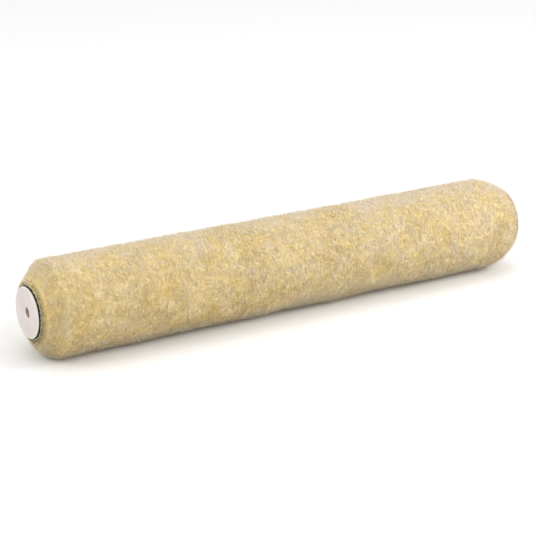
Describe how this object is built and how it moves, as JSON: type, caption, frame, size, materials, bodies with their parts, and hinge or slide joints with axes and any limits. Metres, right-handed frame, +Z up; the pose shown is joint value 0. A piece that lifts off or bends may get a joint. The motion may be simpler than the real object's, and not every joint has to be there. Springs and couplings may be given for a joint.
{
  "type": "paint roller cover",
  "caption": "Thick-nap paint roller cover: a spiral-wound core under a fluffy knit nap, with a push-in plug at each end holed for the frame's rod.",
  "frame": {"origin": "on the core's axis, half way along the core", "axes": "+X along the core's axis towards end_plug_right, +Z up from the flat that it rests on"},
  "size_m": [0.4604, 0.0776, 0.0776],
  "materials": {
    "core_wall": "satin",
    "adhesive": "satin",
    "knit_backing": "matte",
    "nap_fibre": "matte",
    "plug_plastic": "matte"
  },
  "bodies": {
    "cover": {"core_ply_inner": "core_wall", "core_ply_middle": "core_wall", "core_ply_outer": "core_wall", "bond_film": "adhesive", "knit_backing": "knit_backing", "nap": "nap_fibre"},
    "left_plug": {"end_plug_left": "plug_plastic"},
    "right_plug": {"end_plug_right": "plug_plastic"}
  },
  "joints": [
    {"name": "left_plug_pull", "type": "slide", "parent": "cover", "child": "left_plug", "axis": [-1, 0, 0], "range_m": [0, 0.03]},
    {"name": "right_plug_pull", "type": "slide", "parent": "cover", "child": "right_plug", "axis": [1, 0, 0], "range_m": [0, 0.03]}
  ]
}
